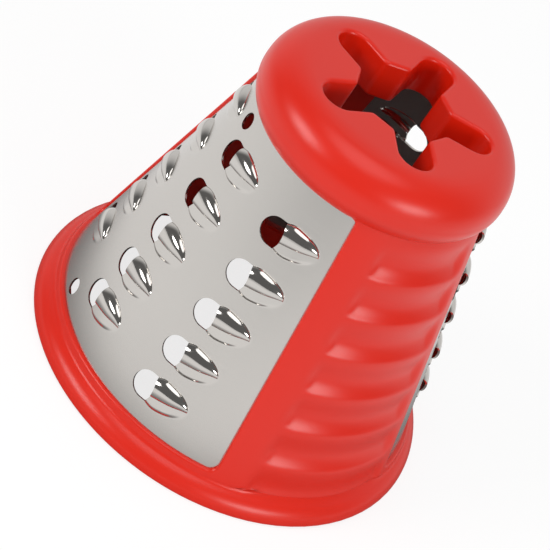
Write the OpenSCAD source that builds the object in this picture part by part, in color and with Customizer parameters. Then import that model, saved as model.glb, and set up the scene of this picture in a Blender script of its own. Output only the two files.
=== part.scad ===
// Grating cone for a small food grater: a red moulded drum cone with two
// stainless grating sheets moulded into its windows. It stands on its wide rim.
// Z is the cone's axis, the rim's underside is Z = 0 and the first window
// faces -Y. Lengths are in millimetres and angles in degrees.

/* [Rim] */
// outer diameter of the wide rim
rim_diameter = 100; // [90:1:110]
// radius of the rim's rolled upper edge
rim_roll = 4.5; // [3.5:0.1:5]
// radius of the rim's small lower edge
rim_edge = 0.8; // [0.4:0.1:1.2]

/* [Cone] */
// height from the rim's underside to the head's top
total_height = 88; // [84:1:94]
// how far the sheet's surface, carried down to Z = 0, lies inside the rim
cone_setback = 3; // [2.5:0.1:3.5]
// radius lost for each millimetre of height
taper = 0.2445; // [0.22:0.005:0.26]
// how far the plastic frame stands proud of the sheet
frame_proud = 1; // [0.8:0.1:1.2]
// plastic left on the inside of the sheet
inner_skin = 1.2; // [1:0.1:1.6]

/* [Windows] */
// height of a window's lower edge
window_bottom = 7.3; // [7:0.1:8]
// half of the angle that a window takes round the axis
window_half_angle = 57.3; // [55:0.5:59]
// lean of a window's side edges away from the cone's own lines
window_lean = 2.2; // [1:0.2:3]
// corner radius at a window's lower edge
corner_low = 2.2; // [1.5:0.1:3]
// corner radius at a window's upper edge
corner_high = 0.9; // [0.6:0.1:1.5]

/* [Grating sheets] */
// thickness of the stainless sheet
sheet_thickness = 0.5; // [0.4:0.1:0.6]
// width of sheet held in the plastic round each window
sheet_hold = 1.6; // [1.2:0.1:2]
// free space left past the held edge
sheet_gap = 0.3; // [0.3:0.05:0.5]
// free space left between the sheet's faces and the groove that holds it
sheet_play = 0.1; // [0.05:0.01:0.15]
// columns of teeth on a sheet
tooth_columns = 3; // [2:1:3]
// rows of teeth on a sheet
tooth_rows = 5; // [3:1:5]
// distance of the top row's middle tooth below the window's upper edge
top_row_drop = 11.6; // [11:0.2:13]
// distance from the top row to the next one
row_pitch = 12.4; // [12:0.1:12.6]
// how much shorter each next row distance is
row_shrink = 0.5; // [0.4:0.05:0.6]
// how much lower each column stands than the one before it
column_drop = 2.3; // [1.5:0.1:2.5]
// angle between columns in the top row
column_pitch = 37.4; // [36:0.2:38]
// how much smaller that angle is in each next row
column_shrink = 0.95; // [0.7:0.05:1.1]
// turn of the whole tooth pattern from the window's centre line
pattern_turn = -0.8; // [-1.5:0.1:1]
// length of a tooth with its hole
tooth_length = 13.9; // [13:0.1:14.5]
// width of the soft foot round a tooth
foot_width = 0.5; // [0.3:0.1:0.7]
// height of the cutting lip above the sheet
lip_height = 2.3; // [1.8:0.1:2.6]
// diameter of a tooth's hole, and width of its raised leaf
tooth_hole = 6.9; // [6.4:0.1:7.2]
// how far the cutting lip bows over the hole
lip_bow = 1.9; // [1.4:0.1:2.2]
// diameter of the two small locating holes
locating_hole = 4; // [3.4:0.1:4.4]
// angle of the locating holes from the window's centre line
locating_angle = -15.6; // [-17:0.2:-14]
// distance of the upper locating hole below the window's upper edge
locating_drop = 5.2; // [4.8:0.1:6]
// distance of the lower locating hole above the window's lower edge
locating_rise = 3.4; // [3.2:0.1:4]

/* [Grips] */
// number of finger grooves on a grip, from the top down
groove_count = 7; // [4:1:7]
// distance from one groove to the next
groove_pitch = 10; // [9.6:0.1:10.2]
// height of the top groove's middle
groove_top = 67.4; // [66:0.2:68]
// width of a groove
groove_width = 5; // [4:0.2:6]
// depth of a groove
groove_depth = 1; // [0.6:0.1:1.2]
// half of the angle that the grooves take round the axis
groove_half_angle = 21; // [16:1:23]

/* [Head] */
// height of the head above the window's upper edge
head_height = 12.3; // [11:0.1:13]
// how far the head swells past the frame below it
head_swell = 1.4; // [1:0.1:1.6]
// radius of the head's rounded shoulder
shoulder_radius = 8.5; // [7:0.5:9]
// thickness of the head's top
head_skin = 2.4; // [2:0.1:3]
// lobes of the star-shaped drive socket
star_lobes = 5; // [5:1:6]
// width of a lobe
lobe_width = 8.4; // [7.4:0.1:8.8]
// distance from the axis to a lobe's rounded end
lobe_reach = 21.6; // [20.5:0.1:22]
// distance from the axis to the flats between the lobes
star_flat = 11.3; // [10.5:0.1:12]
// depth of the drive socket's wall
socket_depth = 10; // [7:0.5:11]
// thickness of the drive socket's wall
socket_wall = 1.8; // [1.4:0.1:2]

/* [Hidden] */
$fn = 96;
base_radius = rim_diameter / 2 - cone_setback;
window_top = total_height - head_height;
wall = frame_proud + sheet_thickness + inner_skin;
cone_angle = atan(taper);
head_radius = frame_radius(window_top) + head_swell;
leaf_length = tooth_length - tooth_hole / 2;
leaf_arc = (leaf_length * leaf_length + tooth_hole * tooth_hole / 4) / tooth_hole;
far = rim_diameter;
sheet_half_angle = window_half_angle + window_lean + 1.7;

// radius of the sheet's outer face at height z
function sheet_radius(z) = base_radius - taper * z;
// radius of the plastic frame's outer face at height z
function frame_radius(z) = sheet_radius(z) + frame_proud;
// radius of the drum's inner face at height z
function inner_radius(z) = sheet_radius(z) - sheet_thickness - inner_skin;

// height of the middle tooth of row i
function row_height(i) = window_top - top_row_drop - i * row_pitch + row_shrink * i * (i - 1) / 2;
function column_place(j) = j - (tooth_columns - 1) / 2;
function tooth_height(i, j) = row_height(i) - column_drop * column_place(j);
function tooth_angle(i, j) = pattern_turn + (column_pitch - column_shrink * i) * column_place(j);

// places its children on the sheet at an angle from -Y and a height,
// with X along the sheet's turn, Y up the slope and Z outwards
module on_sheet(angle, z) {
  rotate([0, 0, angle])
    translate([0, -sheet_radius(z), z])
      rotate([90 - cone_angle, 0, 0])
        children();
}

// ring of the drum wall between two coaxial cones, from z0 to z1
module cone_shell(out0, out1, in0, in1, z0, z1) {
  rotate_extrude()
    polygon([[in0, z0], [out0, z0], [out1, z1], [in1, z1]]);
}

// sector round the -Y direction
module sector(half_angle, z0, z1) {
  rotate([0, 0, -90 - half_angle])
    rotate_extrude(angle = 2 * half_angle)
      translate([base_radius / 3, z0])
        square([far, z1 - z0]);
}

// half width of a tooth's leaf at a distance from its hole's middle
function leaf_half(s) =
  let (s1 = min(max(s, 0), leaf_length))
  sqrt(leaf_arc * leaf_arc - s1 * s1) - leaf_arc + tooth_hole / 2;

// height of a tooth above the sheet at a distance s from the hole's middle and v off its centre line
function leaf_height(s, v) =
  let (b = max(leaf_half(s), 0.001))
  lip_height * (0.9 * b / (tooth_hole / 2) + 0.1) * sqrt(max(0, 1 - v * v / b / b));

// loop points of a tooth: k goes counterclockwise, 0 to 19, with the tip at 3
function on_leaf(k) = k <= 9 || k >= 17;
function leaf_turn(k) = 15 * ((k + 3) % 20);
function back_turn(k) = 90 + 180 * (k - 9) / 8;
function lip_point(k) =
  let (v = -tooth_hole / 2 * cos(leaf_turn(k)))
  [lip_bow * (1 - pow(2 * v / tooth_hole, 2)), v];
function leaf_side(k) = leaf_turn(k) > 90 ? 1 : leaf_turn(k) < 90 ? -1 : 0;
function outline_point(k, grow) =
  let (s = leaf_length * sin(leaf_turn(k)))
  [s + grow * (s / leaf_length) * 1.5, leaf_side(k) * (leaf_half(s) + grow)];

// one point of loop m (0 at the lip, 3 at the tooth's foot), as [s, v, height];
// loop 5 is the patch's edge and loop 4 lies halfway to it
function tooth_point(m, k) =
  on_leaf(k)
    ? let (
        f = [0, 0.5, 0.86, 1][m],
        p = lip_point(k) * (1 - f) + outline_point(k, m == 3 ? foot_width : -0.12) * f
      )
      [p[0], p[1], m == 3 ? 0 : leaf_height(p[0], p[1])]
    : let (r = tooth_hole / 2 + foot_width * m / 3)
      [r * cos(back_turn(k)), r * sin(back_turn(k)), 0];

// corner of the patch lattice: i counts down, j counts round, as [angle, z]
function lattice(i, j) = [
  j == 0 ? -sheet_half_angle : j == tooth_columns ? sheet_half_angle :
    pattern_turn + (column_pitch - column_shrink * (i - 0.5)) * (j - tooth_columns / 2),
  i == 0 ? window_top + sheet_hold : i == tooth_rows ? window_bottom - sheet_hold :
    (row_height(i - 1) + row_height(i)) / 2 - column_drop * (j - tooth_columns / 2)
];
function between(p, q, f) = p * (1 - f) + q * f;
function patch_edge(i, j, k) =
  k < 6 ? between(lattice(i + 1, j + 1), lattice(i, j + 1), k / 6)
  : k < 10 ? between(lattice(i, j), lattice(i, j + 1), (10 - k) / 4)
  : k < 16 ? between(lattice(i + 1, j), lattice(i, j), (16 - k) / 6)
  : between(lattice(i + 1, j), lattice(i + 1, j + 1), (k - 16) / 4);

// a point on the sheet from its angle, its height and its distance off the sheet
function on_cone(angle, z, off) =
  let (r = sheet_radius(z) + off * cos(cone_angle))
  [r * sin(angle), -r * cos(angle), z + off * sin(cone_angle)];
function tooth_place(i, j, m, k) =
  let (
    p = tooth_point(m, k),
    z = tooth_height(i, j),
    turn = (p[0] + tooth_hole / 2 - tooth_length / 2) / sheet_radius(z) * 180 / PI
  )
  [tooth_angle(i, j) + turn, z + p[1] * cos(cone_angle), p[2]];
function sheet_place(i, j, m, k) =
  m == 5 ? concat(patch_edge(i, j, k), 0)
  : m == 4 ? between(tooth_place(i, j, 3, k), concat(patch_edge(i, j, k), 0), 0.5)
  : tooth_place(i, j, m, k);
function sheet_point(i, j, m, k, deep) =
  let (p = sheet_place(i, j, m, k))
  on_cone(p[0], p[1], p[2] - deep);

// number of a point in the list, by patch, side (0 outer, 1 inner), loop and place
function at(i, j, side, m, k) = (((i * tooth_columns + j) * 2 + side) * 6 + m) * 20 + k % 20;

// is the patch edge after place k on the sheet's own rim?
function on_rim(i, j, k) =
  k < 6 ? j == tooth_columns - 1
  : k < 10 ? i == 0
  : k < 16 ? j == 0
  : i == tooth_rows - 1;

// the sheet with its raised teeth, woven patch by patch
module toothed_sheet() {
  points = [
    for (i = [0:tooth_rows - 1], j = [0:tooth_columns - 1], side = [0, 1], m = [0:5], k = [0:19])
      sheet_point(i, j, m, k, side * sheet_thickness)
  ];
  faces = [
    for (i = [0:tooth_rows - 1], j = [0:tooth_columns - 1], k = [0:19]) each concat(
      [for (m = [0:4]) each [
        [at(i, j, 0, m, k), at(i, j, 0, m, k + 1), at(i, j, 0, m + 1, k + 1)],
        [at(i, j, 0, m, k), at(i, j, 0, m + 1, k + 1), at(i, j, 0, m + 1, k)],
        [at(i, j, 1, m, k), at(i, j, 1, m + 1, k + 1), at(i, j, 1, m, k + 1)],
        [at(i, j, 1, m, k), at(i, j, 1, m + 1, k), at(i, j, 1, m + 1, k + 1)]
      ]],
      [
        [at(i, j, 0, 0, k + 1), at(i, j, 0, 0, k), at(i, j, 1, 0, k)],
        [at(i, j, 0, 0, k + 1), at(i, j, 1, 0, k), at(i, j, 1, 0, k + 1)]
      ],
      on_rim(i, j, k) ? [
        [at(i, j, 0, 5, k), at(i, j, 0, 5, k + 1), at(i, j, 1, 5, k + 1)],
        [at(i, j, 0, 5, k), at(i, j, 1, 5, k + 1), at(i, j, 1, 5, k)]
      ] : []
    )
  ];
  polyhedron(points = points, faces = faces);
}

module grating_sheet() {
  difference() {
    toothed_sheet();
    on_sheet(locating_angle, window_top - locating_drop)
      translate([0, 0, -3])
        cylinder(h = 6, d = locating_hole);
    on_sheet(locating_angle, window_bottom + locating_rise)
      translate([0, 0, -3])
        cylinder(h = 6, d = locating_hole);
  }
}

// points on a round corner from one direction to another
function bend(x, y, r, from, to, steps) =
  [for (n = [0:steps]) let (t = from + (to - from) * n / steps) [x + r * cos(t), y + r * sin(t)]];

// side block that leaves a window's edge leaning, with its rounded corners
module window_side() {
  middle = (window_bottom + window_top) / 2;
  half = (window_top - window_bottom) / 2;
  rotate([0, 0, window_half_angle])
    translate([0, 0, middle])
      rotate([0, -window_lean, 0])
        rotate([90, 0, 0])
          linear_extrude(height = far)
            polygon(concat(
              [[-corner_low, -far], [far, -far], [far, far], [-corner_high, far]],
              bend(-corner_high, half - corner_high, corner_high, 90, 0, 4),
              bend(-corner_low, corner_low - half, corner_low, 0, -90, 5)
            ));
}

// the opening of one window, as a solid to cut away
module window_opening() {
  difference() {
    sector(window_half_angle + window_lean, window_bottom, window_top);
    window_side();
    mirror([1, 0, 0])
      window_side();
  }
}

// room for one sheet's held edge in the drum's wall
module sheet_seat() {
  facet_angle = (sheet_half_angle - lattice(tooth_rows, tooth_columns - 1)[0]) / 4;
  deep = sheet_thickness + sheet_play + base_radius * (1 - cos(facet_angle / 2));
  low = window_bottom - sheet_hold - sheet_gap;
  high = window_top + sheet_hold + sheet_gap;
  intersection() {
    cone_shell(
      sheet_radius(low) + sheet_play, sheet_radius(high) + sheet_play,
      sheet_radius(low) - deep, sheet_radius(high) - deep, low, high
    );
    sector(sheet_half_angle + 0.5, 0, total_height);
  }
}

// finger grooves of the grip that faces +X: flat rings that run out of the
// drum's round wall at both ends
module grip_grooves() {
  round = (groove_width * groove_width / 4 + groove_depth * groove_depth) / (2 * groove_depth);
  for (i = [0:groove_count - 1]) {
    z = groove_top - i * groove_pitch;
    deep = frame_radius(z) + round * cos(cone_angle) - groove_depth;
    end = deep + groove_depth;
    c = cos(groove_half_angle);
    back = (end * end - deep * deep) / (2 * (deep - end * c));
    translate([-back, 0, z + round * sin(cone_angle)])
      rotate_extrude()
        translate([back + deep, 0])
          circle(r = round);
  }
}

// the drum's upright section, with the rolled rim and the rounded head
module outer_profile() {
  rim = rim_diameter / 2;
  shoulder = total_height - shoulder_radius;
  under = shoulder_radius * 0.7;
  roll = rim - rim_roll;
  foot = rim_edge + sqrt(rim_roll * rim_roll - pow(frame_radius(rim_edge + rim_roll) - roll, 2));
  lift = sqrt(under * under - pow(frame_radius(shoulder - under * 0.77) - head_radius + under, 2));
  polygon(concat(
    [[0, 0]],
    bend(rim - rim_edge, rim_edge, rim_edge, -90, 0, 3),
    bend(roll, rim_edge, rim_roll, 10, acos((frame_radius(foot) - roll) / rim_roll) - 3, 6),
    [[frame_radius(foot), foot]],
    bend(head_radius - under, shoulder, under, -asin(lift / under), -8, 6),
    bend(head_radius - shoulder_radius, shoulder, shoulder_radius, 0, 90, 10),
    [[0, total_height]]
  ));
}

// star outline of the drive socket, grown by `grow` on every side
module star(grow) {
  for (k = [0:star_lobes - 1])
    rotate([0, 0, -90 + k * 360 / star_lobes])
      polygon(concat(
        [[0, lobe_width / 2 + grow], [0, -lobe_width / 2 - grow]],
        bend(lobe_reach - lobe_width / 2, 0, lobe_width / 2 + grow, -90, 90, 10)
      ));
  rotate([0, 0, -90])
    circle(r = (star_flat + grow) / cos(180 / star_lobes), $fn = star_lobes);
}

module drum_body() {
  color([0.86, 0.1, 0.07])
    difference() {
      union() {
        difference() {
          rotate_extrude()
            outer_profile();
          rotate_extrude()
            polygon([[0, -1], [inner_radius(-1), -1],
              [inner_radius(total_height - head_skin), total_height - head_skin],
              [0, total_height - head_skin]]);
          window_opening();
          rotate([0, 0, 180])
            window_opening();
          grip_grooves();
          rotate([0, 0, 180])
            grip_grooves();
          sheet_seat();
          rotate([0, 0, 180])
            sheet_seat();
        }
        translate([0, 0, total_height - socket_depth])
          linear_extrude(height = socket_depth - head_skin / 2)
            star(socket_wall);
      }
      translate([0, 0, total_height / 2])
        linear_extrude(height = total_height)
          star(0);
    }
}

module front_grating() {
  color([0.74, 0.73, 0.71])
    grating_sheet();
}

module back_grating() {
  rotate([0, 0, 180])
    front_grating();
}

drum_body();
front_grating();
back_grating();
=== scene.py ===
import math

import bmesh
import bpy
import numpy as np
from bpy.props import FloatProperty, FloatVectorProperty, IntProperty, PointerProperty
from mathutils import Matrix, Vector


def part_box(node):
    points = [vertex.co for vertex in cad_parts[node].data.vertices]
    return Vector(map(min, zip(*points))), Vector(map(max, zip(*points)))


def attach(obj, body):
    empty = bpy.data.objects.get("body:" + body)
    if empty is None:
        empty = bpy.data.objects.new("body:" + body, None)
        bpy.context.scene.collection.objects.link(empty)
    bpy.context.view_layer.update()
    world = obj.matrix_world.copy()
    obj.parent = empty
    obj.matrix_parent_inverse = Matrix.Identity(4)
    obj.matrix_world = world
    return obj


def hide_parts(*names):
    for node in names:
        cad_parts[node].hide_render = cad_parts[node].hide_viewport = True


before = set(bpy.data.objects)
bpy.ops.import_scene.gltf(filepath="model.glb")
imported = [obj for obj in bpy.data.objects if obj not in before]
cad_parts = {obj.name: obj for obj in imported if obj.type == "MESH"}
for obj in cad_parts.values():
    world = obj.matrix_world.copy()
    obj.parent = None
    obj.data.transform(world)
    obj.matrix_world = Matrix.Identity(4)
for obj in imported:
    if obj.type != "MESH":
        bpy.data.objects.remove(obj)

bl_info = {
    "name": "Grating cone",
    "version": (1, 0, 0),
    "blender": (4, 5, 0),
    "location": "3D View > Sidebar > Grating cone",
    "description": "Red drum cone with stainless grating sheets for a small food grater",
    "category": "Add Mesh",
}

# The frame's box gives the rim and the height that every other size hangs on.
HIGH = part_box("drum_body")[1]
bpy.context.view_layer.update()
MM = 0.001


def length(name, description, millimetres):
    return FloatProperty(name=name, description=description, default=millimetres * MM, unit="LENGTH")


def angle(name, description, degrees):
    return FloatProperty(
        name=name, description=description, default=math.radians(degrees), unit="ROTATION"
    )


def share(name, description, value):
    return FloatProperty(name=name, description=description, default=value, subtype="FACTOR")


def colour(name, description, value):
    return FloatVectorProperty(
        name=name, description=description, default=value, subtype="COLOR", min=0, max=1
    )


class DrumSizes(bpy.types.PropertyGroup):
    """Sizes of the red moulding"""

    rim_radius: FloatProperty(
        name="Rim radius", description="Radius of the wide rim", default=min(HIGH[0], HIGH[1]),
        unit="LENGTH",
    )
    height: FloatProperty(
        name="Height", description="Height of the cone", default=HIGH[2], unit="LENGTH"
    )
    rim_roll: length("Rim roll", "Radius of the rim's rolled upper edge", 4.5)
    rim_edge: length("Rim edge", "Radius of the rim's lower edge", 0.8)
    rim_foot: length("Rim foot", "Radius of the hollow where the rim meets the cone", 1.45)
    setback: length("Setback", "How far the sheet, carried down, lies inside the rim", 3.0)
    taper: share("Taper", "Radius lost for each unit of height", 0.2445)
    proud: length("Proud", "How far the frame stands proud of the sheet", 1.0)
    wall: length("Wall", "Thickness of the moulding's side", 2.7)
    window_bottom: length("Window bottom", "Height of a window's lower edge", 7.3)
    window_half_angle: angle("Window half angle", "Half of a window's turn round the axis", 57.3)
    window_lean: angle("Window lean", "Lean of a window's side edges", 2.2)
    corner_low: length("Lower corners", "Radius of a window's lower corners", 2.2)
    corner_high: length("Upper corners", "Radius of a window's upper corners", 1.6)
    edge_round: length("Edge round", "Radius that softens a window's edge", 0.5)
    head_foot: length("Head foot", "Distance of the head's lower crease below the top", 13.1)
    head_radius: length("Head radius", "Largest radius of the head", 31.0)
    shoulder: length("Shoulder", "Radius of the head's shoulder", 8.5)
    head_skin: length("Head skin", "Thickness of the head's top", 2.4)
    lobes: IntProperty(name="Lobes", description="Lobes of the drive socket", default=5, min=3)
    lobe_width: length("Lobe width", "Width of a lobe", 8.4)
    lobe_reach: length("Lobe reach", "Distance from the axis to a lobe's end", 21.6)
    star_flat: length("Star flat", "Distance from the axis to the flats", 11.3)
    star_corner: length("Star corner", "Radius of the corners between lobes and flats", 1.4)
    star_round: length("Star round", "Radius that softens the socket's upper edge", 0.9)
    socket_depth: length("Socket depth", "Depth of the drive socket", 10.0)
    socket_wall: length("Socket wall", "Thickness of the drive socket's wall", 1.8)


class GripSizes(bpy.types.PropertyGroup):
    """Sizes of the finger grooves"""

    count: IntProperty(name="Grooves", description="Finger grooves on a grip", default=7, min=1)
    pitch: length("Pitch", "Distance from one groove to the next", 10.0)
    top_edge: length("Top edge", "Height of the top groove's lower edge", 63.8)
    flank: length("Flank", "Height from a groove's lower edge to its deepest line", 3.5)
    depth: length("Depth", "Depth of a groove below the cone", 1.05)
    near_angle: angle("Near angle", "Turn from the grip's middle to a groove's near end", 21.8)
    far_angle: angle("Far angle", "Turn from the grip's middle to a groove's far end", 29.0)
    run_out: length("Run out", "Length over which a groove's end rises to the cone", 2.8)


class GratingSizes(bpy.types.PropertyGroup):
    """Sizes of the stainless sheets"""

    thickness: length("Thickness", "Thickness of the sheet", 0.5)
    hold: length("Hold", "Width of sheet held in the plastic", 1.6)
    columns: IntProperty(name="Columns", description="Columns of teeth", default=3, min=2)
    rows: IntProperty(name="Rows", description="Rows of teeth", default=5, min=2)
    top_drop: length("Top drop", "Distance of the top row below the window's upper edge", 11.6)
    row_pitch: length("Row pitch", "Distance from the top row to the next", 12.4)
    row_shrink: length("Row shrink", "How much shorter each next distance is", 0.5)
    column_drop: length("Column drop", "How much lower each next column stands", 2.3)
    column_pitch: angle("Column pitch", "Angle between columns in the top row", 37.4)
    column_shrink: angle("Column shrink", "How much smaller it is in each next row", 0.95)
    pattern_turn: angle("Pattern turn", "Turn of the whole pattern", -0.8)
    tooth_length: length("Tooth length", "Length of a tooth with its hole", 14.6)
    hole: length("Hole", "Diameter of a tooth's hole", 6.9)
    hole_offset: length("Hole offset", "Distance of the hole's centre from its column's line", 3.5)
    corner: length("Corner", "How far the lip's corners lie in front of the hole's centre", 1.5)
    half_width: length("Half width", "Half width of the pressed ground round a tooth", 4.2)
    crown_height: length("Crown height", "Height of the dome above its ledge", 1.4)
    lip_height: length("Lip height", "Height of the dome at the cutting lip", 1.25)
    lip_bow: length("Lip bow", "How far the cutting lip bows away from the hole", 0.9)
    crease: length("Crease", "How far below the hole's centre the crease meets the lip", 1.35)
    ledge_height: length("Ledge height", "Height of the ledge below the crease", 0.45)
    shoulder: length("Shoulder", "Width of the ledge's soft shoulder", 0.85)
    tooth_turn: angle("Tooth turn", "Turn of a tooth about its hole, the tip upwards", 4.5)
    locating_hole: length("Locating hole", "Diameter of the locating holes", 4.0)
    locating_angle: angle("Locating angle", "Angle of the locating holes", -15.6)
    locating_drop: length("Locating drop", "Upper hole's distance below the window's top", 5.2)
    locating_rise: length("Locating rise", "Lower hole's distance above the window's bottom", 3.4)


class FinishValues(bpy.types.PropertyGroup):
    """Colours of the piece and its studio"""

    plastic: colour("Plastic", "Moulded red", (0.78, 0.018, 0.004))
    plastic_deep: colour("Deep plastic", "Red where the moulding flowed slower", (0.74, 0.013, 0.002))
    steel: colour("Steel", "Stainless sheet", (0.70, 0.67, 0.635))
    floor: colour("Floor", "Pale studio floor", (0.80, 0.80, 0.80))


class StudioValues(bpy.types.PropertyGroup):
    """The camera and where it looks"""

    distance: length("Distance", "Distance from the camera to its aim", 543.1)
    azimuth: angle("Azimuth", "Turn of the camera round the axis from -Y", 43.21)
    elevation: angle("Elevation", "Height angle of the camera", 37.38)
    roll: angle("Roll", "Turn of the camera about its own line of sight", 34.81)
    aim_height: length("Aim height", "Height of the aim on the axis", 28.64)
    aim_side: length("Aim side", "Distance of the aim from the axis", -1.73)
    lens: FloatProperty(name="Lens", description="Focal length in millimetres", default=153.6)


def sizes(group):
    """The settings of one group, kept on the scene"""
    return getattr(bpy.context.scene, group)


# Surfaces

def smooth(x):
    """Rises from 0 to 1 as x does, level at both ends."""
    x = np.clip(x, 0, 1)
    return x * x * (3 - 2 * x)


def upright(phi, radius, z):
    """Points at turn phi from -Y towards +X, at a radius and a height."""
    phi, radius, z = np.broadcast_arrays(phi, radius, z)
    return np.stack([radius * np.sin(phi), -radius * np.cos(phi), z], axis=-1)


def turn_of(points):
    """Turn of points from -Y."""
    return np.arctan2(points[..., 0], -points[..., 1])


def arc(x, y, radius, start, stop, count):
    """Points of a circular arc, from one direction in degrees to another."""
    t = np.radians(np.linspace(start, stop, count))
    return np.stack([x + radius * np.cos(t), y + radius * np.sin(t)], axis=-1)


class Weave:
    """Collects grids of points and joins them into one closed mesh."""

    def __init__(self):
        self.points = []
        self.faces = []
        self.marks = []
        self.count = 0

    def add(self, grid, closed=False, marks=None):
        """Adds a grid of rows by columns as quads. closed joins the last column to the first."""
        rows, columns = grid.shape[:2]
        row = np.arange(rows - 1)[:, None] * columns
        step = np.arange(columns if closed else columns - 1)[None, :]
        after = (step + 1) % columns
        quads = np.stack(
            [row + step, row + after, row + columns + after, row + columns + step], axis=-1
        )
        self.faces.append(quads.reshape(-1, 4) + self.count)
        self.points.append(grid.reshape(-1, 3))
        self.marks.append(np.zeros((rows * columns, 3)) if marks is None else marks.reshape(-1, 3))
        self.count += rows * columns

    def piece(self, name, weld=2e-6, crisp=40):
        """Makes the mesh, merges the grids' shared edges, turns all faces outwards and keeps
        bends of more than crisp degrees sharp."""
        mesh = bpy.data.meshes.new(name)
        points = np.concatenate(self.points)
        faces = np.concatenate(self.faces)
        mesh.vertices.add(len(points))
        mesh.vertices.foreach_set("co", points.astype(np.float32).ravel())
        mesh.loops.add(faces.size)
        mesh.loops.foreach_set("vertex_index", faces.astype(np.int32).ravel())
        mesh.polygons.add(len(faces))
        mesh.polygons.foreach_set("loop_start", np.arange(0, faces.size, 4, dtype=np.int32))
        layer = mesh.attributes.new("spread", "FLOAT_VECTOR", "POINT")
        layer.data.foreach_set("vector", np.concatenate(self.marks).astype(np.float32).ravel())
        mesh.update(calc_edges=True)
        shape = bmesh.new()
        shape.from_mesh(mesh)
        bmesh.ops.remove_doubles(shape, verts=shape.verts, dist=weld)
        bmesh.ops.dissolve_degenerate(shape, edges=shape.edges, dist=weld)
        bmesh.ops.recalc_face_normals(shape, faces=shape.faces)
        shape.to_mesh(mesh)
        shape.free()
        mesh.polygons.foreach_set("use_smooth", np.ones(len(mesh.polygons), dtype=bool))
        mesh.set_sharp_from_angle(angle=math.radians(crisp))
        mesh.update()
        made = bpy.data.objects.new(name, mesh)
        bpy.context.scene.collection.objects.link(made)
        return made


# Red moulding

# Lines of the frame's surface: down a window's side, round its lower corner, along its lower edge,
# over its softened edge, out to the middle of the grip, and across the head above the window.
SIDE, CORNER, BOTTOM, ROUNDS, STRIPS, ACROSS = 150, 16, 24, 6, 26, 40
# Rows of the rim's section over which the last groove runs out.
HOLLOW = 9


def frame_radius(s, z):
    """Radius of the frame's plain outer cone: it falls by the taper with height."""
    return s.rim_radius - s.setback + s.proud - s.taper * z


def crease_height(s):
    """Height of the crease where the head meets the cone."""
    return s.height - s.head_foot


def relief(s, g, phi, z, reach):
    """How far the grip stands off the plain cone. Down the cone, each groove falls in half a
    cosine wave to its deepest line, then climbs a shorter flank to a crisp lower edge. It reaches
    a given turn from the grip's middle, where its end rises softly to the cone."""
    phi, z = np.broadcast_arrays(phi, z)
    turn = np.abs(np.abs(phi) - math.pi / 2)
    down = (g.top_edge + g.pitch - z) / g.pitch
    part = np.where((down > 0) & (down < g.count), down % 1, 0)
    deepest = 1 - g.flank / g.pitch
    fall = 0.5 - 0.5 * np.cos(math.pi * np.minimum(part / deepest, 1))
    climb = np.clip((part - deepest) / (1 - deepest), 0, 1) ** 1.6
    ends = smooth((reach - turn) * frame_radius(s, z) / g.run_out)
    return -g.depth * (fall - climb) * ends


def window_edge(s, z):
    """Turn of a window's side edge at height z: a plane edge that leans from the cone's line."""
    middle = (s.window_bottom + crease_height(s)) / 2
    return s.window_half_angle + np.arcsin(
        -(z - middle) * math.tan(s.window_lean) / frame_radius(s, z)
    )


def rim_top(s):
    """Height where the frame ends and the rim's section begins."""
    return s.window_bottom - 1.4 * MM


def window_line(s):
    """A quarter of the frame, seen from the window: its outline from the upper corner down the
    side and along the lower edge to the middle, as turn, height and outward direction, and the
    turn and height that each point's line runs out to. The upper corner is a quarter circle that
    ends level at the crease, and the lower one is a quarter circle too."""
    crease = crease_height(s)
    slope = 1 / math.cos(math.atan(s.taper))
    start = s.window_bottom + s.corner_low
    z = crease - (crease - start) * np.linspace(0, 1, SIDE) ** 1.12
    near = np.clip(1 - (crease - z) * slope / s.corner_high, 0, 1)
    shift = s.corner_high * (1 - np.sqrt(1 - near**2))
    phi = window_edge(s, z) - shift / frame_radius(s, z)
    t = np.linspace(0, math.pi / 2, CORNER + 2)[1:-1]
    radius = frame_radius(s, start)
    edge = window_edge(s, start) * radius - s.corner_low
    phi_corner = (edge + s.corner_low * np.cos(t)) / radius
    half = CORNER // 2
    low = rim_top(s)
    down = np.linspace(start, low, half + 1)[1:]
    across = np.linspace(math.pi / 2, edge / radius, CORNER - half + 1)[1:]
    phi_bottom = np.linspace(edge / radius, 0, BOTTOM)[1:]
    return {
        "phi": np.concatenate([phi, phi_corner, phi_bottom]),
        "z": np.concatenate([
            z, start - s.corner_low * np.sin(t), np.full(BOTTOM - 1, s.window_bottom)
        ]),
        "out": np.concatenate([
            np.tile([1.0, 0.0], (SIDE, 1)),
            np.stack([np.cos(t), -np.sin(t)], axis=-1),
            np.tile([0.0, -1.0], (BOTTOM - 1, 1)),
        ]),
        "target": np.concatenate([
            np.stack([np.full(SIDE, math.pi / 2), z], axis=-1),
            np.stack([np.full(half, math.pi / 2), down], axis=-1),
            np.stack([across, np.full(CORNER - half, low)], axis=-1),
            np.stack([phi_bottom, np.full(BOTTOM - 1, low)], axis=-1),
        ]),
    }


def quarters(phi):
    """The turns of a quarter's columns in each of the four quarters."""
    return phi, -phi, math.pi + phi, math.pi - phi


def mirrored(near, far):
    """Carries a quarter round to a whole ring of four. The far one is the near one's mirror image,
    apart from the grooves' ends, and half a turn repeats both."""
    pair = [near, far * np.array([-1.0, 1.0, 1.0])]
    return pair + [part * np.array([-1.0, -1.0, 1.0]) for part in pair]


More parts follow.
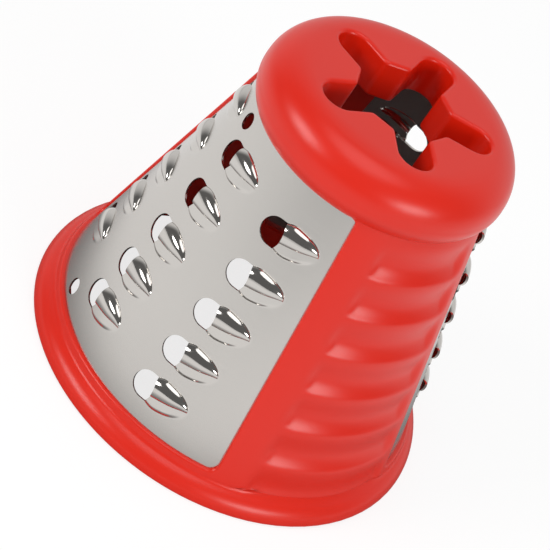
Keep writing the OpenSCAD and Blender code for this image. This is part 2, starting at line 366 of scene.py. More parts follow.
def window_frame(s, g, weave):
    """The frame round a window: rings that run out of the wall, over the softened edge and over
    the cone's face to the middle of the grip, and the same columns on the inside. Returns the
    near and the far face, the inside and the number of rings on the wall."""
    line = window_line(s)
    edge = s.edge_round
    turn = np.linspace(0, math.pi / 2, ROUNDS)
    rings = [(0.0, s.wall - edge / 2), (0.0, s.wall * 0.7), (0.0, s.proud), (0.0, edge * 1.3)]
    on_wall = len(rings)
    rings += [(edge * (1 - math.cos(t)), edge * (1 - math.sin(t))) for t in turn]
    rings += [(edge * out, 0.0) for out in (1.2, 1.7, 2.4)]
    slope = math.cos(math.atan(s.taper))
    phi, z, sunk = [], [], []
    for out, depth in rings:
        phi.append(line["phi"] + out * line["out"][:, 0] / frame_radius(s, line["z"]))
        z.append(line["z"] + out * line["out"][:, 1] * slope)
        sunk.append(depth)
    last_phi, last_z = phi[-1], z[-1]
    for f in np.linspace(0, 1, STRIPS + 1)[1:] ** 1.3:
        phi.append(last_phi * (1 - f) + line["target"][:, 0] * f)
        z.append(last_z * (1 - f) + line["target"][:, 1] * f)
        sunk.append(0.0)
    phi, z, sunk = np.stack(phi), np.stack(z), np.array(sunk)[:, None]
    near, far = (
        upright(phi, frame_radius(s, z) + relief(s, g, phi, z, reach) - sunk, z)
        for reach in (g.near_angle, g.far_angle)
    )
    beyond = slice(on_wall + 1, None)
    inside = upright(phi[beyond], frame_radius(s, z[beyond]) - s.wall, z[beyond])
    back = np.concatenate([near[:1], inside])
    for part in mirrored(near, far) + mirrored(back, back):
        weave.add(part)
    return near, far, back, on_wall


def rim_section(s):
    """The rim's section from the cone's foot, round the hollow, the roll and the lower edge,
    across the underside and up the inner face: radius and height. The hollow is a circle that
    touches the cone's line and the roll's circle; its height is the one where both distances
    agree."""
    roll_x, roll_y, foot = s.rim_radius - s.rim_roll, s.rim_edge, s.rim_foot
    lean = math.atan(s.taper)
    touch = np.linspace(s.rim_edge, rim_top(s), 4001)
    x = frame_radius(s, touch) + foot * math.cos(lean)
    y = touch + foot * math.sin(lean)
    best = np.abs(np.hypot(x - roll_x, y - roll_y) - (s.rim_roll + foot)).argmin()
    x, y, touch = x[best], y[best], touch[best]
    away = math.degrees(math.atan2(y - roll_y, x - roll_x))
    down = np.linspace(rim_top(s), touch, 4)[1:-1]
    soft = 0.5 * MM
    inner = frame_radius(s, 0) - s.wall
    return np.concatenate([
        np.stack([frame_radius(s, down), down], axis=-1),
        arc(x, y, foot, 180 + math.degrees(lean), 180 + away, 8),
        arc(roll_x, roll_y, s.rim_roll, away, 0, 22)[1:],
        arc(s.rim_radius - s.rim_edge, s.rim_edge, s.rim_edge, 0, -90, 7)[1:],
        np.linspace([s.rim_radius - s.rim_edge, 0], [inner + soft, 0], 4)[1:],
        arc(inner + soft, soft, soft, -90, -180, 5)[1:],
    ])


def rim_band(s, g, near, far, back, weave):
    """The rolled rim, turned from its section. The last groove runs out in its hollow."""
    start = SIDE + CORNER // 2 - 1
    phi = turn_of(near[-1, start:])[None]
    radius, z = np.split(rim_section(s), 2, axis=1)
    fade = smooth(1 - np.arange(len(z)) / HOLLOW)[:, None]
    bands = []
    for face, reach in ((near, g.near_angle), (far, g.far_angle)):
        band = upright(phi, radius + relief(s, g, phi, z, reach) * fade, z)
        bands.append(np.concatenate([face[-1:, start:], band, back[-1:, start:]]))
    for part in mirrored(*bands):
        weave.add(part)


def head_section(s):
    """The head's section from the crease, swelling out to its largest radius, and round the
    shoulder until it has nearly levelled: radius and height."""
    crease, middle = crease_height(s), s.height - s.shoulder
    core = s.head_radius - s.shoulder * 0.7
    x, y = frame_radius(s, crease) - core, crease - middle
    first = math.degrees(math.atan2(y, x))
    t = np.linspace(first, 0, 16)
    swell = math.hypot(x, y) + (s.shoulder * 0.7 - math.hypot(x, y)) * (1 - t / first)
    low = np.stack([
        core + swell * np.cos(np.radians(t)), middle + swell * np.sin(np.radians(t))
    ], axis=-1)
    return np.concatenate([
        low[1:], arc(s.head_radius - s.shoulder, middle, s.shoulder, 0, 76, 24)[1:]
    ])


def head_top(s, points):
    """Height of the head's upper side at points in plan: level, then falling with the shoulder's
    circle."""
    past = np.hypot(points[..., 0], points[..., 1]) - (s.head_radius - s.shoulder)
    return s.height - s.shoulder + np.sqrt(s.shoulder**2 - np.clip(past, 0, s.shoulder) ** 2)


def star_tenth(s):
    """A tenth of the socket's outline in plan, from the middle of a lobe's end along its side and
    round the corner to the middle of a flat: points and outward directions."""
    step = math.pi / s.lobes
    half = s.lobe_width / 2
    centre = s.lobe_reach - half
    corner = (s.star_flat - half * math.sin(step)) / math.cos(step)
    trim = s.star_corner * math.tan((math.pi / 2 - step) / 2)
    t = np.linspace(0, math.pi / 2, 200)
    end_out = np.stack([np.cos(t), np.sin(t)], axis=-1)
    end = [centre, 0] + half * end_out
    side = np.linspace([centre, half], [corner + trim, half], 200)
    t = np.linspace(math.pi / 2, step, 100)
    bow_out = np.stack([np.cos(t), np.sin(t)], axis=-1)
    bow = np.array([corner + trim, half + s.star_corner]) - s.star_corner * bow_out
    flat_out = np.array([math.cos(step), math.sin(step)])
    flat = np.linspace(bow[-1], s.star_flat * flat_out, 100)
    return np.concatenate([end, side, bow, flat]), np.concatenate([
        end_out, np.tile([0.0, 1.0], (200, 1)), bow_out, np.tile(flat_out, (100, 1))
    ])


def star_ring(s, phi, grow):
    """The socket's outline in plan, grown outwards by a distance. Each turn phi takes the point
    at its share of the outline's length, from a tenth that is mirrored and repeated."""
    points, out = star_tenth(s)
    run = np.append(0, np.cumsum(np.hypot(*np.diff(points, axis=0).T)))
    keep = np.append(True, np.diff(run) > 0)
    run = run[keep] / run[-1]
    step = math.pi / s.lobes
    lobe = np.round(phi / (2 * step)) * 2 * step
    place = np.abs(phi - lobe) / step
    side = np.sign(phi - lobe)
    x, y, out_x, out_y = (np.interp(place, run, v[keep]) for v in (*points.T, *out.T))
    along = x + grow * out_x
    across = side * (y + grow * out_y)
    return np.stack([
        along * np.sin(lobe) + across * np.cos(lobe), across * np.sin(lobe) - along * np.cos(lobe)
    ], axis=-1)


def head_rows(s, phi, ring, inner):
    """Rows of the head at turns phi, from the ring at the crease over the outside, across the top
    to the softened star, down the socket's wall, up its skirt and down the head's inside."""
    def star(grow, height):
        plan = star_ring(s, phi, grow)
        return np.column_stack([plan, np.broadcast_to(height, len(plan))])

    section = head_section(s)
    rows = [upright(phi, *ring)] + [upright(phi, r, z) for r, z in section]
    soft, tip = s.star_round, 0.4 * MM
    circle, brink = rows[-1][:, :2], star_ring(s, phi, soft * 1.25)
    for f in np.linspace(0, 1, 7)[1:]:
        plan = circle * (1 - f) + brink * f
        rows.append(np.column_stack([plan, head_top(s, plan)]))
    level = head_top(s, star_ring(s, phi, soft))
    quarter = np.linspace(0, math.pi / 2, 8)
    rows += [star(soft * (1 - math.sin(t)), level - soft * (1 - math.cos(t))) for t in quarter]
    foot, under = s.height - s.socket_depth, s.height - s.head_skin
    rows += [star(0, level - soft * 1.3), star(0, foot + tip * 1.4)]
    small = quarter[::2]
    rows += [star(tip * (1 - math.cos(t)), foot + tip * (1 - math.sin(t))) for t in small]
    rows += [
        star(s.socket_wall - tip * (1 - math.cos(t)), foot + tip * (1 - math.sin(t)))
        for t in small[::-1]
    ]
    rows += [star(s.socket_wall, under - tip), star(s.socket_wall, under)]
    reach = frame_radius(s, under) - s.wall
    rows += [upright(phi, reach - tip, under), upright(phi, reach, under - tip)]
    down = np.linspace(under - 1.2 * MM, crease_height(s), 6)[:-1]
    rows += [upright(phi, frame_radius(s, z) - s.wall, z) for z in down]
    return np.stack(rows + [upright(phi, *inner)])


def head_band(s, face, back, on_wall, weave):
    """The head and the lip that it makes over each window."""
    crease = crease_height(s)
    corner = turn_of(face[0, 0])
    lip_phi = np.linspace(0, corner, ACROSS)
    plain = frame_radius(s, crease)
    wall = plain - np.hypot(*face[: on_wall + 1, 0, :2].T)
    depth = np.concatenate([[s.wall], wall, np.array([0.18, 0.06, 0.0]) * MM])
    lip = upright(lip_phi[None], plain - depth[:, None], crease)
    lip[0, -1] = face[0, 0]
    lip[-3:, -1] = face[on_wall, 0]
    for part in mirrored(lip, lip):
        weave.add(part)
    ring = np.concatenate([lip[-1], face[on_wall + 1 :, 0]])
    inner = np.concatenate([lip[0], back[1:, 0]])
    for phi in quarters(turn_of(ring)):
        edges = [(np.hypot(*line[:, :2].T), line[:, 2]) for line in (ring, inner)]
        weave.add(head_rows(s, phi, *edges))


def make_drum():
    """The whole red moulding as one closed mesh."""
    s, g = sizes("drum_sizes"), sizes("grip_sizes")
    weave = Weave()
    near, far, back, on_wall = window_frame(s, g, weave)
    rim_band(s, g, near, far, back, weave)
    head_band(s, near, back, on_wall, weave)
    return weave.piece("drum_moulding")


# Stainless sheets

# Places round a tooth: along its pressed outline and round the back of its hole. The borders of
# its patch have as many: up each side, and along the top and the bottom.
LEAF, BACK = 56, 40
UP, ALONG = 24, 24
# Shares of the way from the lip to the outline, then distances outside it, and shares of the way
# from there to the patch's border.
DOME = np.concatenate([[0, 0.02], 1 - np.linspace(0.93, 0, 12) ** 1.8])
AWAY = np.array([0.04, 0.12, 0.3, 0.6]) * MM
FILL = np.linspace(0, 1, 9)[1:]
# The power of the pressed outline's ellipse, and the share of it that narrows towards the hole.
FULL, NARROW = 2.15, 0.33
# Where the lines between the patches run: above the top row, below the bottom row, and how far
# below the middle between two rows. Beside a locating hole the outer two step aside.
ROOM_ABOVE, ROOM_BELOW, ROW_DROP = 5.6 * MM, 5.9 * MM, 0.4 * MM
ASIDE_ABOVE, ASIDE_BELOW, ASIDE_WIDTH = 3.3 * MM, 0.7 * MM, math.radians(6)


def sheet_radius(s, z):
    """Radius of the sheet's outer face: the frame's, less what the frame stands proud."""
    return frame_radius(s, z) - s.proud


def window_top(s):
    """Height of the window's upper edge, just behind the head's lip."""
    return crease_height(s) + 0.8 * MM


def row_height(s, t, i):
    """Height of row i's middle tooth: each step down is a little shorter than the last."""
    return window_top(s) - t.top_drop - i * t.row_pitch + t.row_shrink * i * (i - 1) / 2


def tip_at(t):
    """Distance from the hole's centre to the tooth's tip."""
    return t.tooth_length - t.hole / 2


def share_along(t, along):
    """How far along a tooth a place is: 0 at the lip's corners and 1 at the tip."""
    return np.clip((along - t.corner) / (tip_at(t) - t.corner), 0, 1)


def towards_hole(t, along):
    """Rises from 0 to 1 over the part of a tooth that narrows towards its hole."""
    return np.clip(1 - share_along(t, along) / NARROW, 0, 1) ** 2


def pressed_half(t, along):
    """Half width of the pressed ground: an ellipse of a higher power, as narrow as the hole where
    it meets it."""
    fuller = (1 - share_along(t, along) ** FULL) ** (1 / FULL)
    return fuller * (t.half_width - (t.half_width - t.hole / 2) * towards_hole(t, along))


def lip_along(t, across):
    """The cutting lip in plan: a parabola between its corners."""
    return t.corner + t.lip_bow * (1 - (across / (t.hole / 2)) ** 2)


def crease_across(t, along):
    """The crease below the dome in plan: a straight line from the lip to the tip."""
    tip = tip_at(t)
    return -t.crease * np.maximum(tip - along, 0) / (tip - lip_along(t, t.crease))


def dome_height(t, along, across):
    """Height of the dome over the ledge: half an ellipse from the crease to the far foot, which
    is softer, under a crown that rises from the lip and rounds down to the tip."""
    low, high = crease_across(t, along), pressed_half(t, along)
    off = (2 * across - high - low) / np.maximum(high - low, 1e-7)
    lift = t.crown_height - (t.crown_height - t.lip_height) * towards_hole(t, along)
    crown = lift * (1 - share_along(t, along) ** 2.6) ** 0.55
    return crown * np.clip(1 - off**2, 0, 1) ** (0.5 + 0.25 * np.clip(off, 0, 1) ** 2)


def ledge_height(t, along, across):
    """Height of the ledge: level below the crease, down to the sheet in a soft shoulder, gone
    before the tip, and running down to nothing under the dome."""
    low, high = crease_across(t, along), pressed_half(t, along)
    under = np.clip((high - across) / np.maximum(high - low, 1e-7), 0, 1)
    fade = 1 - smooth((share_along(t, along) - 0.5) / 0.45)
    return t.ledge_height * smooth((across + high) / t.shoulder) * under * fade


def tooth_loops(t):
    """Loops round one tooth as (along, across, height, polish): from the cutting lip over the
    dome and the ledge to their outline, then outwards. Places run from the lip's lower corner by
    way of the tip to its upper corner, and back round the hole, whose sides run straight from
    the corners into a half circle. The crease is the line of places that ends in the tip."""
    r, corner, tip = t.hole / 2, t.corner, tip_at(t)
    turn = np.arange(LEAF + 1) * math.pi / LEAF
    near = turn < math.pi / 2
    lip = np.where(
        near,
        -r + (r - t.crease) * turn * 2 / math.pi,
        -t.crease + (r + t.crease) * (0.5 + 0.5 * np.cos(2 * turn)),
    )
    along = corner + (tip - corner) * np.sin(turn) ** (2 / FULL)
    half = pressed_half(t, along)
    run = np.arange(1, BACK) / BACK * (2 * corner + math.pi * r)
    bend = np.clip((run - corner) / r, 0, math.pi)
    straight = np.maximum(corner - run, 0) + np.maximum(run - corner - math.pi * r, 0)
    hole = np.stack([straight - r * np.sin(bend), r * np.cos(bend)], axis=-1)
    start = np.concatenate([np.stack([lip_along(t, lip), lip], axis=-1), hole])
    outline = np.concatenate([np.stack([along, np.where(near, -half, half)], axis=-1), hole])
    out = np.concatenate([
        np.stack([np.sin(turn), -np.cos(turn)], axis=-1) * (0.3 + 0.7 * np.sin(turn))[:, None],
        np.stack([-np.sin(bend), np.cos(bend)], axis=-1) * 0.3,
    ])
    on_leaf = np.concatenate([np.sin(turn) > 1e-9, np.zeros(BACK - 1, dtype=bool)])
    loops = []
    for f in DOME:
        place = start * (1 - f) + outline * f
        height = (dome_height(t, *place.T) + ledge_height(t, *place.T)) * (on_leaf & (f < 1))
        loops.append(np.column_stack([place, height, on_leaf]))
    for away in AWAY:
        polish = on_leaf * 0.6 * (1 - away / AWAY[-1])
        loops.append(np.column_stack([outline + out * away, np.zeros(len(out)), polish]))
    return np.stack(loops)


def border(s, t, i, turn):
    """Height of the line between rows i - 1 and i at a turn: it falls round the cone as the
    columns do. The first and the last line step aside from the locating holes."""
    pitch = t.column_pitch - t.column_shrink * (i - 0.5)
    fall = t.column_drop * (turn - t.pattern_turn) / pitch
    beside = np.exp(-((turn - t.locating_angle) / ASIDE_WIDTH) ** 4)
    if i == 0:
        return row_height(s, t, 0) + ROOM_ABOVE - fall - ASIDE_ABOVE * beside
    if i == t.rows:
        return row_height(s, t, i - 1) - ROOM_BELOW - fall + ASIDE_BELOW * beside
    return (row_height(s, t, i - 1) + row_height(s, t, i)) / 2 - ROW_DROP - fall


def column_turn(s, t, i, j):
    """Turn of the line between columns j - 1 and j on row line i. The outermost lines are the
    sheet's edges, which the plastic holds."""
    half = s.window_half_angle + s.window_lean + math.radians(1.7)
    if j in (0, t.columns):
        return math.copysign(half, j - 1)
    pitch = t.column_pitch - t.column_shrink * (i - 0.5)
    return t.pattern_turn + pitch * (j - t.columns / 2)


def side_line(s, t, i, j):
    """Places down the line between columns j - 1 and j, from row line i to the next."""
    ends = []
    for line in (i, i + 1):
        turn = column_turn(s, t, line, j)
        ends.append(np.array([turn, border(s, t, line, turn)]))
    return np.linspace(ends[0], ends[1], UP + 1)


def row_line(s, t, i, j):
    """Places along row line i across column j."""
    turn = np.linspace(column_turn(s, t, i, j), column_turn(s, t, i, j + 1), ALONG + 1)
    return np.stack([turn, border(s, t, i, turn)], axis=-1)


def patch_edge(s, t, i, j):
    """The border of a tooth's patch, whose places face the places of its loops: up the tip's
    side, back along the top, down and forward again, with the tip halfway up its side."""
    edge = np.concatenate([
        side_line(s, t, i, j + 1)[:0:-1],
        row_line(s, t, i, j)[:0:-1],
        side_line(s, t, i, j)[:-1],
        row_line(s, t, i + 1, j)[:-1],
    ])
    return np.roll(edge, LEAF // 2 - UP // 2, axis=0)


def on_cone(s, place, off):
    """A point on the sheet from its turn and height, at a distance off the sheet along the
    cone's outward direction."""
    lean = math.atan(s.taper)
    radius = sheet_radius(s, place[..., 1]) + off * math.cos(lean)
    return upright(place[..., 0], radius, place[..., 1] + off * math.sin(lean))


def tooth_patch(s, t, i, j, loops):
    """One tooth and the sheet round it, as places, heights and polish, loop by loop."""
    column = j - (t.columns - 1) / 2
    z = row_height(s, t, i) - t.column_drop * column
    radius = sheet_radius(s, z)
    middle = t.pattern_turn + (t.column_pitch - t.column_shrink * i) * column
    start = middle - t.hole_offset / radius
    slope = math.cos(math.atan(s.taper))
    ahead, up = math.cos(t.tooth_turn), math.sin(t.tooth_turn)
    along = loops[..., 0] * ahead - loops[..., 1] * up
    across = loops[..., 0] * up + loops[..., 1] * ahead
    place = np.stack([start + along / radius, z + across * slope], axis=-1)
    edge = patch_edge(s, t, i, j)
    fill = np.stack([place[-1] * (1 - f) + edge * f for f in FILL])
    flat = np.zeros(fill.shape[:2])
    return (
        np.concatenate([place, fill]),
        np.concatenate([loops[..., 2], flat]),
        np.concatenate([loops[..., 3], flat]),
    )


def marks_of(s, place, polish):
    """What the finish reads: distance round the sheet, distance up it, and polish."""
    round_about = place[..., 0] * sheet_radius(s, 40 * MM)
    return np.stack([round_about, place[..., 1], np.broadcast_to(polish, round_about.shape)], axis=-1)


def add_sides(s, t, weave, place, height, polish, closed):
    """Both faces of the sheet over one grid of places."""
    marks = marks_of(s, place, polish)
    for off in (height, height - t.thickness):
        weave.add(on_cone(s, place, np.broadcast_to(off, place.shape[:2])), closed, marks)


def join_edges(s, t, weave, place, height, polish, closed):
    """The sheet's cut edge along one line of places, with slightly broken corners."""
    off = height - t.thickness * np.array([0.0, 0.1, 0.9, 1.0])[:, None]
    line = np.broadcast_to(place, (4, *place.shape))
    off = np.broadcast_to(off, line.shape[:2])
    weave.add(on_cone(s, line, off), closed, marks_of(s, line, polish))


def strip_with_hole(s, t, weave, edge, z_end, hole_z):
    """The strip between the teeth and the sheet's edge, with one round locating hole. The cells
    round the hole are a patch that runs from its circle out to their border."""
    rows, reach = 10, 6
    near = int(np.abs(edge[:, 0] - t.locating_angle).argmin())
    first, last = near - reach, near + reach
    end = np.stack([edge[:, 0], np.full(len(edge), z_end)], axis=-1)
    grid = np.linspace(edge, end, rows + 1)
    for part in (grid[:, : first + 1], grid[:, last:]):
        add_sides(s, t, weave, part, 0, 0, False)
    outer = np.concatenate([
        grid[:-1, first], grid[-1, first:last], grid[:0:-1, last], grid[0, last:first:-1]
    ])
    centre = np.array([t.locating_angle, hole_z])
    scale = np.array([sheet_radius(s, hole_z), 1.0])
    ray = (outer - centre) * scale
    ray = ray / np.hypot(*ray.T)[:, None]
    circle = centre + t.locating_hole / 2 * ray / scale
    add_sides(s, t, weave, np.linspace(circle, outer, 6), 0, 0, True)
    join_edges(s, t, weave, circle, 0, 0, True)
    for line in (grid[-1], grid[:, 0], grid[:, -1]):
        join_edges(s, t, weave, line, 0, 0, False)


def make_grating(name, turned):
    """One sheet: a patch for each tooth, a strip above and one below with a locating hole each,
    and all cut edges. The second sheet is the first, turned half round."""
    s, t = sizes("drum_sizes"), sizes("grating_sizes")
    weave = Weave()
    loops = tooth_loops(t)
    for i in range(t.rows):
        for j in range(t.columns):
            place, height, polish = tooth_patch(s, t, i, j, loops)
            add_sides(s, t, weave, place, height, polish, True)
            join_edges(s, t, weave, place[0], height[0], polish[0], True)
        for j in (0, t.columns):
            join_edges(s, t, weave, side_line(s, t, i, j), 0, 0, False)
    top = window_top(s)
    for i, end, hole in (
        (0, top + t.hold, top - t.locating_drop),
        (t.rows, s.window_bottom - t.hold, s.window_bottom + t.locating_rise),
    ):
        parts = [row_line(s, t, i, j)[: None if j == t.columns - 1 else -1] for j in range(t.columns)]
        strip_with_hole(s, t, weave, np.concatenate(parts), end, hole)
    if turned:
        weave.points = [p * np.array([-1.0, -1.0, 1.0]) for p in weave.points]
    return weave.piece(name)


# Finishes

class Value:
    """A shader value. Its operators add Math nodes to the tree."""

    def __init__(self, tree, socket):
        self.tree = tree
        self.socket = socket

    def _math(self, operation, a, b):
        made = self.tree.node("ShaderNodeMath", {"operation": operation}, {0: a, 1: b})
        return Value(self.tree, made[0])

    def __add__(self, other):
        return self._math("ADD", self, other)

    def __radd__(self, other):
        return self._math("ADD", other, self)

    def __sub__(self, other):
        return self._math("SUBTRACT", self, other)

    def __rsub__(self, other):
        return self._math("SUBTRACT", other, self)

    def __mul__(self, other):
        return self._math("MULTIPLY", self, other)

    def __rmul__(self, other):
        return self._math("MULTIPLY", other, self)


class Shading:
    """A node tree being put together."""

    def __init__(self, tree):
        self.tree = tree
        self.tree.nodes.clear()

    def give(self, socket, value):
        """Sets a socket to a number or a colour, or links a value to it."""
        if isinstance(value, Value):
            value = value.socket
        if isinstance(value, bpy.types.NodeSocket):
            self.tree.links.new(value, socket)
        else:
            socket.default_value = value

    def node(self, kind, settings, inputs):
        """Adds one node: its settings first, then the values or links of its sockets."""
        made = self.tree.nodes.new(kind)
        for name, value in settings.items():
            setattr(made, name, value)
        for name, value in inputs.items():
            self.give(made.inputs[name], value)
        return made.outputs

    def value(self, socket):
        return Value(self, socket)

    def blend(self, factor, first, second):
        """Mixes two colours, each three numbers or a link."""
        first, second = (
            part if isinstance(part, bpy.types.NodeSocket) else (*part, 1.0)
            for part in (first, second)
        )
        return self.node("ShaderNodeMix", {"data_type": "RGBA"}, {0: factor, 6: first, 7: second})[2]

    def noise(self, vector, scale, detail):
        """Soft noise on a vector, round one half."""
        return self.value(self.node(
            "ShaderNodeTexNoise", {}, {"Vector": vector, "Scale": scale, "Detail": detail}
        )["Fac"])

    def ramp(self, value, start, stop):
        """Rises softly from 0 to 1 as a value goes from start to stop."""
        return self.value(self.node(
            "ShaderNodeMapRange", {"interpolation_type": "SMOOTHSTEP"},
            {"Value": value, "From Min": start, "From Max": stop},
        )[0])

    def bump(self, height, distance, strength):
        return self.node(
            "ShaderNodeBump", {}, {"Height": height, "Distance": distance, "Strength": strength}
        )["Normal"]


class Finish(Shading):
    """A material being put together, with its surface shader at hand."""

    def __init__(self, name):
        self.material = bpy.data.materials.new(name)
        self.material.use_nodes = True
        super().__init__(self.material.node_tree)
        self.surface = self.tree.nodes.new("ShaderNodeBsdfPrincipled")
        output = self.tree.nodes.new("ShaderNodeOutputMaterial")
        self.tree.links.new(self.surface.outputs[0], output.inputs["Surface"])

    def shade(self, **inputs):
        """Sets the surface shader's sockets. An underscore stands for a space."""
        for name, value in inputs.items():
            self.give(self.surface.inputs[name.replace("_", " ")], value)


def plastic_finish():
    """Glossy moulded plastic: an even red with a hint of flow, and a faint orange peel."""
    v = sizes("finish_values")
    finish = Finish("moulded_red")
    place = finish.node("ShaderNodeTexCoord", {}, {})["Object"]
    flow = finish.noise(place, 28.0, 2.0)
    peel = finish.noise(place, 700.0, 2.0)
    fine = finish.noise(place, 4200.0, 1.0)
    finish.shade(
        Base_Color=finish.blend(flow, v.plastic_deep, v.plastic),
        Roughness=0.285 + flow * 0.05,
        Normal=finish.bump(peel * 0.7 + fine * 0.3, 0.0001, 0.04),
    )
    return finish.material


def steel_finish():
    """Stainless sheet: a satin face with fine grain along its turn, mirror bright where the teeth
    and their ledges were pressed."""
    v = sizes("finish_values")
    finish = Finish("stainless_sheet")
    spread = finish.node(
        "ShaderNodeAttribute", {"attribute_name": "spread", "attribute_type": "GEOMETRY"}, {}
    )["Vector"]
    polish = finish.value(finish.node("ShaderNodeSeparateXYZ", {}, {"Vector": spread})["Z"])
    stretched = finish.node(
        "ShaderNodeVectorMath", {"operation": "MULTIPLY"}, {0: spread, 1: (60.0, 2600.0, 0.0)}
    )[0]
    grain = finish.noise(stretched, 1.0, 2.0)
    cloud = finish.noise(finish.node("ShaderNodeTexCoord", {}, {})["Object"], 60.0, 3.0)
    satin = 1 - polish
    worn = tuple(c * 0.95 for c in v.steel)
    finish.shade(
        Base_Color=finish.blend(cloud, worn, v.steel),
        Metallic=1.0,
        Roughness=0.1 + satin * (0.11 + grain * 0.05),
        Normal=finish.bump(grain * satin, 0.00005, 0.06),
    )
    return finish.material


# Studio

# Soft lamps: name, turn, height angle, distance, width, height and power.
LAMPS = (
    ("left_softbox", -11, 26, 0.9, 0.5, 0.32, 2.5),
    ("right_softbox", 95, 17, 0.9, 0.44, 0.28, 2.2),
    ("top_softbox", 42, 80, 1.1, 0.8, 0.8, 2.5),
)
# Levels, where 1 is white: the floor's own grey and the glow that the camera sees over it.
FLOOR_GREY, FLOOR_GLOW = 0.24, 0.79
# In reflections the floor shows a painted glow, left dark under the cone as a painted shadow. It
# rises to its palest between two distances from the axis, and falls by a step between two more.
PALEST, PALE_FROM, PALE_TO = 0.66, 0.045, 0.1
DEEPER, DEEPER_FROM, DEEPER_TO = 0.2, 0.2, 0.6
# The surroundings as light, and in reflections: dark, and paler by a step ahead of the camera.
PLAIN_LIGHT, DARK_ROOM, FAR_STEP = 0.5, 0.13, 0.6
FAR_FROM, FAR_TO = 0.1, 0.7


def direction(azimuth, elevation):
    """Direction out from the axis, by its turn from -Y and its height angle."""
    flat = math.cos(elevation)
    return Vector((
        math.sin(azimuth) * flat, -math.cos(azimuth) * flat, math.sin(elevation)
    ))


def add_camera():
    """The camera looks along one line of sight at a point by the axis, and is rolled about it."""
    v = sizes("studio_values")
    across = Vector((math.cos(v.azimuth), math.sin(v.azimuth), 0))
    out = direction(v.azimuth, v.elevation)
    up = out.cross(across)
    aim = across * v.aim_side + Vector((0, 0, v.aim_height))
    x = across * math.cos(v.roll) + up * math.sin(v.roll)
    y = up * math.cos(v.roll) - across * math.sin(v.roll)
    lens = bpy.data.cameras.new("camera")
    lens.lens = v.lens
    lens.sensor_width = 36.0
    lens.clip_start = 0.01
    camera = bpy.data.objects.new("camera", lens)
    turn = Matrix((x, y, out)).transposed().to_4x4()
    camera.matrix_world = Matrix.Translation(aim + out * v.distance) @ turn
    bpy.context.scene.collection.objects.link(camera)
    bpy.context.scene.camera = camera


def add_lamp(name, azimuth, elevation, distance, width, height, power):
    """A soft oval lamp that faces the cone."""
    lamp = bpy.data.lights.new(name, "AREA")
    lamp.shape = "ELLIPSE"
    lamp.size = width
    lamp.size_y = height
    lamp.energy = power
    made = bpy.data.objects.new(name, lamp)
    out = direction(math.radians(azimuth), math.radians(elevation))
    made.location = Vector((0, 0, 50 * MM)) + out * distance
    made.rotation_euler = out.to_track_quat("Z", "Y").to_euler()
    bpy.context.scene.collection.objects.link(made)


def add_floor():
    """A pale floor. The camera sees it white with a faint shadow. Reflections see a painted glow on
    it: left dark under the cone as a painted shadow, palest round it and a little deeper further out."""
    v = sizes("finish_values")
    ground = Finish("pale_floor")
    rays = ground.node("ShaderNodeLightPath", {}, {})
    seen = ground.value(rays["Is Camera Ray"]) + ground.value(rays["Is Transmission Ray"])
    glossy = ground.value(rays["Is Glossy Ray"])
    place = ground.node("ShaderNodeTexCoord", {}, {})["Object"]
    away = ground.node("ShaderNodeVectorMath", {"operation": "LENGTH"}, {0: place})["Value"]
    # Painted glow and painted shadow for reflections: dark under the cone, palest round it, a little
    # deeper further out.
    level = ground.ramp(away, PALE_FROM, PALE_TO) * (
        PALEST - ground.ramp(away, DEEPER_FROM, DEEPER_TO) * DEEPER
    )
    black, white = (0.0,) * 3, (1.0,) * 3
    ground.shade(
        Base_Color=ground.blend(seen + glossy, v.floor, (FLOOR_GREY,) * 3),
        Roughness=0.9,
        Specular_IOR_Level=0.0,
        # Reflections see the painted glow with its painted shadow under the cone; the camera sees the
        # plain white glow.
        Emission_Color=ground.blend(
            glossy, ground.blend(seen, black, (FLOOR_GLOW,) * 3), ground.blend(level, black, white)
        ),
        Emission_Strength=1.0,
    )
    side, low = 3.0, -0.02 * MM
    mesh = bpy.data.meshes.new("floor")
    corners = [(-side, -side, low), (side, -side, low), (side, side, low), (-side, side, low)]
    mesh.from_pydata(corners, [], [(0, 1, 2, 3)])
    mesh.materials.append(ground.material)
    floor = bpy.data.objects.new("floor", mesh)
    bpy.context.scene.collection.objects.link(floor)


def add_world():
    """White surroundings to the camera, a plain pale level as light, and in reflections a dark
    room on the camera's side and overhead, with a pale wall on the far side."""
    azimuth = sizes("studio_values").azimuth
    world = bpy.data.worlds.new("studio")
    world.use_nodes = True
    sky = Shading(world.node_tree)
    rays = sky.node("ShaderNodeLightPath", {}, {})
    way = sky.node("ShaderNodeTexCoord", {}, {})["Generated"]
    far = (-math.sin(azimuth), math.cos(azimuth), 0.0)
    ahead = sky.node("ShaderNodeVectorMath", {"operation": "DOT_PRODUCT"}, {0: way, 1: far})["Value"]
    mirror = DARK_ROOM + sky.ramp(ahead, FAR_FROM, FAR_TO) * FAR_STEP
    seen = sky.value(rays["Is Camera Ray"]) + sky.value(rays["Is Transmission Ray"])
    level = (
        PLAIN_LIGHT
        + seen * (1 - PLAIN_LIGHT)
        + sky.value(rays["Is Glossy Ray"]) * (mirror - PLAIN_LIGHT)
    )
    back = sky.node("ShaderNodeBackground", {}, {"Color": (1.0, 1.0, 1.0, 1.0), "Strength": level})
    sky.node("ShaderNodeOutputWorld", {}, {"Surface": back[0]})
    bpy.context.scene.world = world


# Operators, panel and registration

def dress(piece, node, material):
    """Puts the finish on a piece and ties it to the frame."""
    piece.data.materials.append(material)
    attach(piece, "root")
    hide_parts(node)


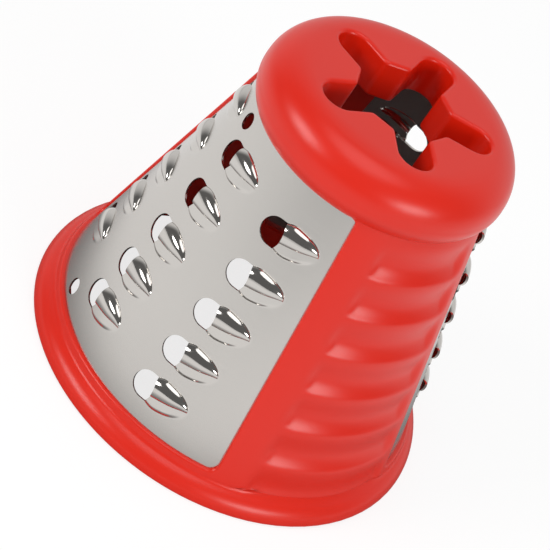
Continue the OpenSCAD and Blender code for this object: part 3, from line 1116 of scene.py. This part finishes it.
class GRATER_OT_drum(bpy.types.Operator):
    """Adds the red moulding with its rim, grips, head and drive socket"""

    bl_idname = "grater.add_drum"
    bl_label = "Add drum moulding"

    def execute(self, context):
        dress(make_drum(), "drum_body", plastic_finish())
        return {"FINISHED"}


class GRATER_OT_gratings(bpy.types.Operator):
    """Adds the two stainless sheets with their raised teeth"""

    bl_idname = "grater.add_gratings"
    bl_label = "Add grating sheets"

    def execute(self, context):
        steel = steel_finish()
        dress(make_grating("front_sheet", False), "front_grating", steel)
        dress(make_grating("back_sheet", True), "back_grating", steel)
        return {"FINISHED"}


class GRATER_OT_studio(bpy.types.Operator):
    """Adds the camera, the pale floor, the surroundings and the lamps"""

    bl_idname = "grater.add_studio"
    bl_label = "Add studio"

    def execute(self, context):
        add_camera()
        add_floor()
        add_world()
        for lamp in LAMPS:
            add_lamp(*lamp)
        context.scene.view_settings.view_transform = "Standard"
        return {"FINISHED"}


class GRATER_PT_panel(bpy.types.Panel):
    """Lists the operators and the sizes in the sidebar"""

    bl_idname = "GRATER_PT_panel"
    bl_label = "Grating cone"
    bl_space_type = "VIEW_3D"
    bl_region_type = "UI"
    bl_category = "Grating cone"

    def draw(self, context):
        for operator in (GRATER_OT_studio, GRATER_OT_drum, GRATER_OT_gratings):
            self.layout.operator(operator.bl_idname)
        for name, group in GROUPS.items():
            box = self.layout.box()
            box.label(text=name.replace("_", " ").capitalize())
            for key in group.__annotations__:
                box.prop(sizes(name), key)


GROUPS = {
    "drum_sizes": DrumSizes,
    "grip_sizes": GripSizes,
    "grating_sizes": GratingSizes,
    "finish_values": FinishValues,
    "studio_values": StudioValues,
}
CLASSES = (*GROUPS.values(), GRATER_OT_drum, GRATER_OT_gratings, GRATER_OT_studio, GRATER_PT_panel)


def register():
    for made in CLASSES:
        bpy.utils.register_class(made)
    for name, group in GROUPS.items():
        setattr(bpy.types.Scene, name, PointerProperty(type=group))


def unregister():
    for name in GROUPS:
        delattr(bpy.types.Scene, name)
    for made in reversed(CLASSES):
        bpy.utils.unregister_class(made)


def main():
    register()
    bpy.ops.grater.add_studio()
    bpy.ops.grater.add_drum()
    bpy.ops.grater.add_gratings()


if __name__ == "__main__":
    main()
